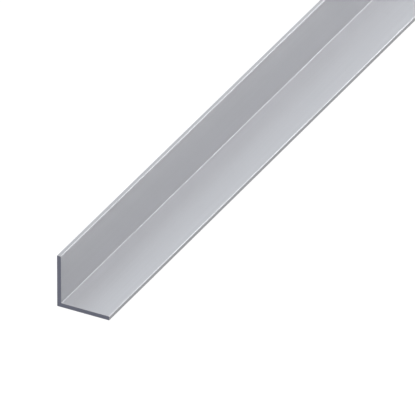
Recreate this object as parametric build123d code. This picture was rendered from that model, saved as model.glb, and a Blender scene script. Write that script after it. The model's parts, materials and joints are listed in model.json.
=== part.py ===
from build123d import *

import os

# Equal-leg aluminium angle: one straight bar of extruded stock, sawn square at both ends.
#
# The bar lies as it would on a bench, one leg flat on the surface and the other upright.
# X runs across the flat leg from the heel to the toe, Y along the bar and Z up the upright leg.
# The origin is on the surface, under the middle of the bar's outer box.

# Section, in millimetres
FLAT_LEG = 25.0  # over the outside, from the heel to the toe
UPRIGHT_LEG = 25.0  # over the outside, from the heel to the toe
WALL = 2.0  # the same in both legs
ROOT_RADIUS = 0.3  # hollow fillet inside the corner
TOE_RADIUS = 0.5  # rounding of each toe's inner edge
CORNER_RADIUS = 0.25  # the heel and each toe's outer edge, sharp to the eye

# Bar, in millimetres
BAR_LENGTH = 1000.0
DEBURR = 0.1  # chamfer that takes the saw's burr off both ends


def angle_section():
    """The L outline that the die gives the metal, drawn on the bar's far sawn end."""
    far_end = Plane.XZ.offset(-BAR_LENGTH / 2)
    heel_x = -FLAT_LEG / 2
    toe_x = heel_x + FLAT_LEG
    root_x = heel_x + WALL

    heel = (heel_x, 0)
    flat_toe_outside = (toe_x, 0)
    flat_toe_inside = (toe_x, WALL)
    root = (root_x, WALL)
    upright_toe_inside = (root_x, UPRIGHT_LEG)
    upright_toe_outside = (heel_x, UPRIGHT_LEG)

    radii = {
        heel: CORNER_RADIUS,
        flat_toe_outside: CORNER_RADIUS,
        flat_toe_inside: TOE_RADIUS,
        root: ROOT_RADIUS,
        upright_toe_inside: TOE_RADIUS,
        upright_toe_outside: CORNER_RADIUS,
    }
    with BuildSketch(far_end) as section:
        with BuildLine():
            Polyline(*radii, close=True)
        make_face()
        for corner, radius in radii.items():
            fillet(vertices().sort_by_distance(corner)[0], radius)
    return section.sketch


def angle_bar():
    """The bar: the section run to its length, with both sawn ends deburred."""
    bar = extrude(angle_section(), amount=BAR_LENGTH)
    sawn_ends = bar.faces().filter_by(Axis.Y)
    return chamfer(sawn_ends.edges(), DEBURR)


def main():
    os.makedirs("parts", exist_ok=True)
    export_step(angle_bar(), "parts/angle_bar.step")


if __name__ == "__main__":
    main()
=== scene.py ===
import json
import math

import bmesh
import bpy
from bpy.props import FloatProperty, FloatVectorProperty, IntProperty, PointerProperty
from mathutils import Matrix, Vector


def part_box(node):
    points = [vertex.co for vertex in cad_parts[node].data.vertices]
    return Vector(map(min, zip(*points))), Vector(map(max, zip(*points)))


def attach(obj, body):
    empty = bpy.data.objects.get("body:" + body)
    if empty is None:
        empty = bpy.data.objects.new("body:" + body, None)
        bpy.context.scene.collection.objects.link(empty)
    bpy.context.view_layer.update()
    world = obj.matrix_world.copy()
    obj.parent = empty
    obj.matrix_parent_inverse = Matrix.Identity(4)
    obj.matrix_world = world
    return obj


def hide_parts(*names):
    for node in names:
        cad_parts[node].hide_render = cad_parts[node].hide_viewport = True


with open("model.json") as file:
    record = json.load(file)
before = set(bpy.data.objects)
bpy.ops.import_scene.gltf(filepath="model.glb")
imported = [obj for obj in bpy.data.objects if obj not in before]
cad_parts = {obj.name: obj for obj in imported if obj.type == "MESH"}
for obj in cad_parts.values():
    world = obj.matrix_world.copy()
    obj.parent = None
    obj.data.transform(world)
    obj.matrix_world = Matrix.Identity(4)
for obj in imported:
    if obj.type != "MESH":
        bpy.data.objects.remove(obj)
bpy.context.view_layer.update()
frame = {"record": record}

bl_info = {
    "name": "Aluminium Angle",
    "version": (1, 0, 0),
    "blender": (4, 5, 0),
    "location": "View3D > Sidebar > Angle",
    "description": "Models a length of satin anodised aluminium angle and the studio it is shown in",
    "category": "Object",
}

MM = 0.001

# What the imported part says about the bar
LOW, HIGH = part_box("angle_bar")
MOUNTS = {mount["name"]: Vector(mount["pos_m"]) for mount in frame["record"]["mounts"]}
WALL = MOUNTS["inner_base_face"].z - MOUNTS["base_face"].z

PIECE = "anodised_angle"


# Sizes and colours that a user would change


class AngleSection(bpy.types.PropertyGroup):
    """The die's section and the bar's length."""

    flat_leg: FloatProperty(
        name="Flat leg",
        description="Width of the leg that lies on the floor, over the outside",
        default=HIGH.x - LOW.x,
        min=5 * MM,
        unit="LENGTH",
    )
    upright_leg: FloatProperty(
        name="Upright leg",
        description="Height of the leg that stands up, over the outside",
        default=HIGH.z - LOW.z,
        min=5 * MM,
        unit="LENGTH",
    )
    wall: FloatProperty(
        name="Wall",
        description="Thickness of both legs",
        default=WALL,
        min=1 * MM,
        unit="LENGTH",
    )
    bar_length: FloatProperty(
        name="Length",
        description="From one sawn end to the other",
        default=HIGH.y - LOW.y,
        min=10 * MM,
        unit="LENGTH",
    )
    root_radius: FloatProperty(
        name="Root radius",
        description="Hollow fillet inside the corner",
        default=0.3 * MM,
        min=0.1 * MM,
        unit="LENGTH",
    )
    toe_radius: FloatProperty(
        name="Toe radius",
        description="Rounding of each toe's inner edge",
        default=0.5 * MM,
        min=0.1 * MM,
        unit="LENGTH",
    )
    corner_radius: FloatProperty(
        name="Corner radius",
        description="Rounding of the heel and of each toe's outer edge",
        default=0.25 * MM,
        min=0.1 * MM,
        unit="LENGTH",
    )
    deburr: FloatProperty(
        name="Deburr",
        description="Chamfer that takes the saw's burr off both ends",
        default=0.1 * MM,
        min=0.01 * MM,
        unit="LENGTH",
    )
    arc_segments: IntProperty(
        name="Arc segments",
        description="Flats that each rounded corner of the section is made of",
        default=8,
        min=2,
    )
    rings: IntProperty(
        name="Rings",
        description="Stretches that the bar is divided into along its length",
        default=40,
        min=1,
    )


class AngleFinish(bpy.types.PropertyGroup):
    """Colours and surface of the anodised skin and of the sawn ends."""

    satin: FloatVectorProperty(
        name="Satin",
        description="Colour of the anodised skin",
        default=(0.505, 0.51, 0.535),
        subtype="COLOR",
        min=0,
        max=1,
    )
    satin_roughness: FloatProperty(
        name="Satin roughness",
        description="How matt the anodised skin is",
        default=0.42,
        min=0,
        max=1,
        subtype="FACTOR",
    )
    # Painted shade: the two toes' end faces get this colour, darker than the legs, in place of the
    # shade and dark reflection that lighting would give them.
    toe: FloatVectorProperty(
        name="Toe",
        description="Colour of the skin on the two toes, which look darker than the legs",
        default=(0.42, 0.42, 0.44),
        subtype="COLOR",
        min=0,
        max=1,
    )
    # Partly painted shade: the sawn ends are coloured dark blue-grey, far darker than cut metal, in
    # place of the shade they face into; their saw marks are real.
    sawn: FloatVectorProperty(
        name="Sawn",
        description="Colour of the sawn ends",
        default=(0.225, 0.235, 0.305),
        subtype="COLOR",
        min=0,
        max=1,
    )
    sawn_roughness: FloatProperty(
        name="Sawn roughness",
        description="How matt the sawn ends are",
        default=0.5,
        min=0,
        max=1,
        subtype="FACTOR",
    )
    bare: FloatVectorProperty(
        name="Bare",
        description="Colour of the bare metal where the burr was filed off",
        default=(0.45, 0.455, 0.47),
        subtype="COLOR",
        min=0,
        max=1,
    )
    bare_roughness: FloatProperty(
        name="Bare roughness",
        description="How matt the filed metal is",
        default=0.35,
        min=0,
        max=1,
        subtype="FACTOR",
    )
    blade_radius: FloatProperty(
        name="Blade radius",
        description="Radius of the round blade whose marks are on the sawn ends",
        default=150 * MM,
        min=10 * MM,
        unit="LENGTH",
    )
    saw_pitch: FloatProperty(
        name="Saw pitch",
        description="Distance from one saw mark to the next",
        default=0.45 * MM,
        min=0.05 * MM,
        unit="LENGTH",
    )


class AngleStudio(bpy.types.PropertyGroup):
    """Floor, lamps and camera."""

    floor: FloatVectorProperty(
        name="Floor",
        description="Colour of the floor and the background",
        default=(0.15, 0.15, 0.15),
        subtype="COLOR",
        min=0,
        max=1,
    )
    floor_lift: FloatProperty(
        name="Floor lift",
        description="Glow that turns the lit floor white where it is seen, and lights nothing",
        default=0.94,
        min=0,
    )
    room_light: FloatProperty(
        name="Room light",
        description="Strength of the even light from all around",
        default=0.46,
        min=0,
    )
    back_light: FloatProperty(
        name="Back light",
        description="Power of the soft box behind the bar, which draws the lines along its edges",
        default=25.5,
        min=0,
        unit="POWER",
    )
    top_light: FloatProperty(
        name="Top light",
        description="Power of the soft box above the bar",
        default=14.0,
        min=0,
        unit="POWER",
    )
    side_light: FloatProperty(
        name="Side light",
        description="Power of the soft box behind the upright leg, which shades the flat leg's root",
        default=22.5,
        min=0,
        unit="POWER",
    )
    side_tint: FloatVectorProperty(
        name="Side tint",
        description="Colour of the side light, a little cooler than the rest, as a window's is",
        default=(0.84, 0.94, 1.0),
        subtype="COLOR",
        min=0,
        max=1,
    )
    lens: FloatProperty(
        name="Lens",
        description="Focal length, very long so that the bar's edges stay parallel",
        default=1700.0,
        min=10,
        subtype="DISTANCE_CAMERA",
    )


# Materials

METAL = 0.35  # share of the surface that reflects as metal; the rest is matt, as oxide is

# Lines that the die draws along the bar
DIE_STRETCH = (1, 0.004, 1)  # they hardly change along Y
DIE_BAND = 3 * MM  # width of the soft bands
DIE_LINE = 0.25 * MM  # width of the fine lines
DIE_DEPTH = 0.008 * MM
BAND_TONE = 0.03  # lighter and darker than the colour by this share
LINE_TONE = 0.07
LINE_ROUGHNESS = 0.04

# Marks of the round blade on the sawn ends
BLADE_CENTRE = (-0.4, 0, 0.9)  # in blade radii from the origin, up and towards the heel
MARK_WANDER = 0.5  # how far a mark strays, in pitches
MARK_LUMP = 1.5 * MM  # length over which it strays
MARK_DEPTH = 0.02 * MM
SAWN_GRAIN = 0.15 * MM
SAWN_TONE = (0.85, 1.3)

# Scratches on the filed edges
SCRATCH = 0.2 * MM
SCRATCH_TONE = 0.1


def new_material(name):
    """A plain metal, with its node tree and its shader."""
    material = bpy.data.materials.new(name)
    material.use_nodes = True
    shader = material.node_tree.nodes["Principled BSDF"]
    shader.inputs["Metallic"].default_value = METAL
    return material, material.node_tree, shader


def set_input(tree, socket, value):
    """Links an output to the socket, or writes a plain value on it."""
    if isinstance(value, bpy.types.NodeSocket):
        tree.links.new(value, socket)
    else:
        socket.default_value = value


def math_node(tree, operation, *values):
    """The result of a sum on numbers, from outputs and plain values."""
    node = tree.nodes.new("ShaderNodeMath")
    node.operation = operation
    for socket, value in zip(node.inputs, values):
        set_input(tree, socket, value)
    return node.outputs[0]


def vector_node(tree, operation, *values):
    """A node that works on vectors, from outputs and plain values."""
    node = tree.nodes.new("ShaderNodeVectorMath")
    node.operation = operation
    for socket, value in zip(node.inputs, values):
        set_input(tree, socket, value)
    return node


def object_coordinates(tree, scale=(1, 1, 1)):
    """Places in the bar's own frame, stretched by a factor along each axis."""
    place = tree.nodes.new("ShaderNodeTexCoord").outputs["Object"]
    mapping = tree.nodes.new("ShaderNodeMapping")
    tree.links.new(place, mapping.inputs["Vector"])
    mapping.inputs["Scale"].default_value = scale
    return mapping.outputs["Vector"]


def noise(tree, vector, size, detail=2.0):
    """Soft noise whose lumps are about size across, from 0 to 1."""
    node = tree.nodes.new("ShaderNodeTexNoise")
    tree.links.new(vector, node.inputs["Vector"])
    node.inputs["Scale"].default_value = 1 / size
    node.inputs["Detail"].default_value = detail
    return node.outputs["Fac"]


def spread(tree, value, low, high):
    """Turns a value from 0 to 1 into one from low to high."""
    node = tree.nodes.new("ShaderNodeMapRange")
    set_input(tree, node.inputs["Value"], value)
    node.inputs["To Min"].default_value = low
    node.inputs["To Max"].default_value = high
    return node.outputs["Result"]


def tone(tree, colour, amount):
    """The colour made lighter or darker by a factor that changes over the surface."""
    node = tree.nodes.new("ShaderNodeMix")
    node.data_type = "RGBA"
    node.blend_type = "MULTIPLY"
    node.inputs["Factor"].default_value = 1.0
    node.inputs["A"].default_value = (*colour, 1)
    tree.links.new(amount, node.inputs["B"])
    return node.outputs["Result"]


def bump(tree, shader, height, depth):
    """Raises the surface by depth where height is 1."""
    node = tree.nodes.new("ShaderNodeBump")
    node.inputs["Strength"].default_value = 1.0
    node.inputs["Distance"].default_value = depth
    set_input(tree, node.inputs["Height"], height)
    tree.links.new(node.outputs["Normal"], shader.inputs["Normal"])


def satin_skin(finish):
    """Clear anodised skin of the legs."""
    return anodised("satin anodised skin", finish.satin, finish.satin_roughness)


def painted_shade_toe_skin(finish):
    """The same skin with painted shade: the darker tone given to the end faces of the two toes."""
    return anodised("anodised toe, painted shade", finish.toe, finish.satin_roughness)


def anodised(name, colour, roughness):
    """Matt metal with the faint lines that the die draws along the bar."""
    material, tree, shader = new_material(name)
    along = object_coordinates(tree, scale=DIE_STRETCH)
    bands = noise(tree, along, DIE_BAND, detail=3)
    lines = noise(tree, along, DIE_LINE)
    band_tone = spread(tree, bands, 1 - BAND_TONE, 1 + BAND_TONE)
    line_tone = spread(tree, lines, 1 - LINE_TONE, 1 + LINE_TONE)
    streaks = math_node(tree, "MULTIPLY", band_tone, line_tone)
    set_input(tree, shader.inputs["Base Color"], tone(tree, colour, streaks))
    rough = spread(tree, lines, roughness - LINE_ROUGHNESS, roughness + LINE_ROUGHNESS)
    set_input(tree, shader.inputs["Roughness"], rough)
    bump(tree, shader, lines, DIE_DEPTH)
    return material


def sawn_face_painted_shade(finish):
    """Fresh cut across the bar: darker and rougher than the skin, with the arcs of a round blade; the
    dark blue-grey colour is painted shade, the rough finish and the arcs are the cut's own.
    """
    material, tree, shader = new_material("sawn end")
    place = object_coordinates(tree)
    centre = finish.blade_radius * Vector(BLADE_CENTRE)
    from_centre = vector_node(tree, "SUBTRACT", place, centre).outputs["Vector"]
    in_cut = vector_node(tree, "MULTIPLY", from_centre, (1, 0, 1)).outputs["Vector"]
    radius = vector_node(tree, "LENGTH", in_cut).outputs["Value"]

    wander = math_node(tree, "MULTIPLY", noise(tree, place, MARK_LUMP), MARK_WANDER * finish.saw_pitch)
    strayed = math_node(tree, "ADD", radius, wander)
    turn = math_node(tree, "MULTIPLY", strayed, 2 * math.pi / finish.saw_pitch)
    marks = math_node(tree, "MULTIPLY_ADD", math_node(tree, "SINE", turn), 0.5, 0.5)  # from 0 to 1
    grain = noise(tree, place, SAWN_GRAIN, detail=3)
    depth = math_node(tree, "MULTIPLY", marks, grain)

    # The sawn colour is painted shade; the saw marks only vary it.
    shade = tone(tree, finish.sawn, spread(tree, depth, *SAWN_TONE))
    set_input(tree, shader.inputs["Base Color"], shade)
    shader.inputs["Roughness"].default_value = finish.sawn_roughness
    bump(tree, shader, depth, MARK_DEPTH)
    return material


def bare_edge(finish):
    """Bare metal on the narrow chamfers, scratched by the file."""
    material, tree, shader = new_material("filed edge")
    scratches = noise(tree, object_coordinates(tree), SCRATCH)
    shade = tone(tree, finish.bare, spread(tree, scratches, 1 - SCRATCH_TONE, 1 + SCRATCH_TONE))
    set_input(tree, shader.inputs["Base Color"], shade)
    shader.inputs["Roughness"].default_value = finish.bare_roughness
    return material


def seeing_ray(tree):
    """1 for a ray that sees a surface, by way of gloss or glass too, and 0 for one that it lights."""
    path = tree.nodes.new("ShaderNodeLightPath")
    seen = math_node(tree, "MAXIMUM", path.outputs["Is Camera Ray"], path.outputs["Is Glossy Ray"])
    return math_node(tree, "MAXIMUM", seen, path.outputs["Is Transmission Ray"])


def show_white(tree, output, surface, lift):
    """Adds a glow to a surface for the rays that see it, and none for the rays that it would light."""
    seen = seeing_ray(tree)
    glow = tree.nodes.new("ShaderNodeEmission")
    tree.links.new(math_node(tree, "MULTIPLY", seen, lift), glow.inputs["Strength"])
    both = tree.nodes.new("ShaderNodeAddShader")
    tree.links.new(surface, both.inputs[0])
    tree.links.new(glow.outputs[0], both.inputs[1])
    tree.links.new(both.outputs[0], output.inputs["Surface"])


# Shapes

# The toe and sawn-end finishes carry painted shade in their colours.
SKIN, TOE_PAINTED_SHADE, SAWN_PAINTED_SHADE, FILED = range(4)  # places of the finishes in the bar's list of materials
SQUARE = 0.99  # a face whose normal is this far along an axis is square to it
TILTED = 0.1  # a face whose normal leans this far towards an end is a chamfer
RIM_ANGLE = 1.0  # the ends turn into the sides by more than this, in radians
CREASE_ANGLE = 0.6  # and an edge that turns by more than this is kept sharp


def link_mesh(name, mesh_data):
    """Turns a finished bmesh into an object at the origin."""
    mesh = bpy.data.meshes.new(name)
    mesh_data.to_mesh(mesh)
    mesh_data.free()
    thing = bpy.data.objects.new(name, mesh)
    bpy.context.scene.collection.objects.link(thing)
    return thing


def section_face(shape, section):
    """The L outline as one face at the near end, with every corner rounded."""
    near = -section.bar_length / 2
    heel = -section.flat_leg / 2
    toe = heel + section.flat_leg
    root = heel + section.wall
    corners = [
        (heel, 0, section.corner_radius),
        (toe, 0, section.corner_radius),
        (toe, section.wall, section.toe_radius),
        (root, section.wall, section.root_radius),
        (root, section.upright_leg, section.toe_radius),
        (heel, section.upright_leg, section.corner_radius),
    ]
    points = [shape.verts.new((x, near, z)) for x, z, _ in corners]
    shape.faces.new(points)
    for point, (_, _, radius) in zip(points, corners):
        bmesh.ops.bevel(
            shape,
            geom=[point],
            offset=radius,
            offset_type="OFFSET",
            segments=section.arc_segments,
            profile=0.5,
            affect="VERTICES",
            clamp_overlap=False,
            material=-1,
        )
    shape.faces.ensure_lookup_table()
    return shape.faces[0]


def extruded_bar(section):
    """The section run along the bar in equal stretches, with both ends chamfered."""
    shape = bmesh.new()
    end = section_face(shape, section)
    step = Vector((0, section.bar_length / section.rings, 0))
    for ring in range(section.rings):
        made = bmesh.ops.extrude_face_region(shape, geom=[end], use_keep_orig=(ring == 0))
        moved = [part for part in made["geom"] if isinstance(part, bmesh.types.BMVert)]
        bmesh.ops.translate(shape, verts=moved, vec=step)
        end = next(part for part in made["geom"] if isinstance(part, bmesh.types.BMFace))
    bmesh.ops.recalc_face_normals(shape, faces=shape.faces)
    rims = [edge for edge in shape.edges if is_rim(edge)]
    bmesh.ops.bevel(
        shape,
        geom=rims,
        offset=section.deburr,
        offset_type="OFFSET",
        segments=1,
        profile=0.5,
        affect="EDGES",
        clamp_overlap=False,
        material=-1,
    )
    return shape


def is_rim(edge):
    """Whether an edge goes round one of the sawn ends."""
    beside_end = any(abs(face.normal.y) > SQUARE for face in edge.link_faces)
    return beside_end and edge.calc_face_angle(0) > RIM_ANGLE


def finish_of(face, section):
    """The finish of a face, by the way it points and the leg's end that it is on."""
    centre = face.calc_center_median()
    towards_end = abs(face.normal.y)
    # The end faces of both toes take the darker toe colour, which is painted shade.
    on_flat_toe = face.normal.x > SQUARE and centre.x > section.flat_leg / 2 - section.toe_radius
    on_upright_toe = face.normal.z > SQUARE and centre.z > section.upright_leg - section.toe_radius
    if towards_end > SQUARE:
        return SAWN_PAINTED_SHADE
    if towards_end > TILTED:
        return FILED
    return TOE_PAINTED_SHADE if on_flat_toe or on_upright_toe else SKIN


def finish_faces(shape, section):
    """Gives each face its finish, and keeps the edges of the sawn ends sharp."""
    for face in shape.faces:
        face.material_index = finish_of(face, section)
        face.smooth = True
    for edge in shape.edges:
        worked = {face.material_index in (SAWN_PAINTED_SHADE, FILED) for face in edge.link_faces}
        edge.smooth = len(worked) == 1 and edge.calc_face_angle(0) < CREASE_ANGLE


# Operators


class ANGLE_OT_bar(bpy.types.Operator):
    """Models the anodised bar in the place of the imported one"""

    bl_idname = "angle.bar"
    bl_label = "Angle bar"

    def execute(self, context):
        scene = context.scene
        shape = extruded_bar(scene.angle_section)
        finish_faces(shape, scene.angle_section)
        bar = link_mesh(PIECE, shape)
        for make in (satin_skin, painted_shade_toe_skin, sawn_face_painted_shade, bare_edge):
            bar.data.materials.append(make(scene.angle_finish))
        even = bar.modifiers.new("even shading", "WEIGHTED_NORMAL")
        even.keep_sharp = True
        even.weight = 100  # the widest faces decide, so the legs shade as flat as they are
        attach(bar, "root")
        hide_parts("angle_bar")
        return {"FINISHED"}


class ANGLE_OT_studio(bpy.types.Operator):
    """Lays the floor and sets up the lamps and the camera"""

    bl_idname = "angle.studio"
    bl_label = "Studio"

    def execute(self, context):
        studio = context.scene.angle_studio
        lay_floor(studio)
        light_room(context.scene, studio)
        soft_box("back soft box", studio.back_light, direction=(0.25, 0.76, 0.61), size=(0.75, 0.53))
        soft_box("top soft box", studio.top_light, direction=(0.45, 0.1, 1.0), size=(1.8, 1.8))
        soft_box(
            "side soft box",
            studio.side_light,
            direction=(-0.6, 0.1, 0.9),
            size=(1.4, 1.8),
            colour=studio.side_tint,
        )
        place_camera(context.scene, studio)
        return {"FINISHED"}


def lay_floor(studio):
    """A wide pale floor, a hair below the bar so that the two don't share a plane."""
    side, gap = 12.0, 0.05 * MM
    shape = bmesh.new()
    bmesh.ops.create_grid(shape, x_segments=1, y_segments=1, size=side / 2)
    bmesh.ops.translate(shape, verts=shape.verts, vec=(0, 0, -gap))
    floor = link_mesh("floor", shape)
    material = bpy.data.materials.new("pale floor")
    material.use_nodes = True
    tree = material.node_tree
    tree.nodes.remove(tree.nodes["Principled BSDF"])
    matt = tree.nodes.new("ShaderNodeBsdfDiffuse")
    matt.inputs["Color"].default_value = (*studio.floor, 1)
    show_white(tree, tree.nodes["Material Output"], matt.outputs[0], studio.floor_lift)
    floor.data.materials.append(material)


def light_room(scene, studio):
    """White all around for the rays that see it, and an even softer light for the rest."""
    world = bpy.data.worlds.new("white room")
    world.use_nodes = True
    tree = world.node_tree
    background = tree.nodes["Background"]
    white = 1.0
    background.inputs["Color"].default_value = (white, white, white, 1)
    strength = spread(tree, seeing_ray(tree), studio.room_light, white)
    tree.links.new(strength, background.inputs["Strength"])
    scene.world = world


def soft_box(name, power, direction, size, colour=(1, 1, 1)):
    """An area lamp that faces the middle of the bar from a direction."""
    distance = 2.4
    lamp = bpy.data.lights.new(name, "AREA")
    lamp.shape = "RECTANGLE"
    lamp.size, lamp.size_y = size
    lamp.energy = power
    lamp.color = colour
    box = bpy.data.objects.new(name, lamp)
    away = Vector(direction).normalized()
    box.location = away * distance
    box.rotation_euler = away.to_track_quat("Z", "Y").to_euler()
    bpy.context.scene.collection.objects.link(box)


def place_camera(scene, studio):
    """Looks at the near end from in front, above and the right, as the picture does."""
    leg = HIGH.x - LOW.x
    azimuth, elevation = math.radians(27.951), math.radians(31.289)
    across, along, distance = 0.7409 * leg, 4.0113 * leg, 332.9 * leg
    aim = LOW + Vector((across, along, 0))
    away = Vector(
        (
            math.sin(azimuth) * math.cos(elevation),
            -math.cos(azimuth) * math.cos(elevation),
            math.sin(elevation),
        )
    )
    data = bpy.data.cameras.new("camera")
    data.lens = studio.lens
    data.sensor_width = 36.0  # mm
    data.clip_end = 100.0  # m, past the far side of the floor
    camera = bpy.data.objects.new("camera", data)
    camera.location = aim + away * distance
    camera.rotation_euler = away.to_track_quat("Z", "Y").to_euler()
    scene.collection.objects.link(camera)
    scene.camera = camera


class ANGLE_PT_sidebar(bpy.types.Panel):
    bl_idname = "ANGLE_PT_sidebar"
    bl_label = "Aluminium angle"
    bl_space_type = "VIEW_3D"
    bl_region_type = "UI"
    bl_category = "Angle"

    def draw(self, context):
        for operator in OPERATORS:
            self.layout.operator(operator.bl_idname)
        for group_name, kind in GROUPS.items():
            group = getattr(context.scene, group_name)
            box = self.layout.box()
            for name in kind.__annotations__:
                box.prop(group, name)


OPERATORS = (ANGLE_OT_bar, ANGLE_OT_studio)
GROUPS = {"angle_section": AngleSection, "angle_finish": AngleFinish, "angle_studio": AngleStudio}


def register():
    for kind in (*GROUPS.values(), *OPERATORS, ANGLE_PT_sidebar):
        bpy.utils.register_class(kind)
    for name, kind in GROUPS.items():
        setattr(bpy.types.Scene, name, PointerProperty(type=kind))


def unregister():
    for name in GROUPS:
        delattr(bpy.types.Scene, name)
    for kind in (ANGLE_PT_sidebar, *OPERATORS, *GROUPS.values()):
        bpy.utils.unregister_class(kind)


def main():
    register()
    bpy.context.scene.view_settings.view_transform = "Standard"
    bpy.ops.angle.bar()
    bpy.ops.angle.studio()


if __name__ == "__main__":
    main()
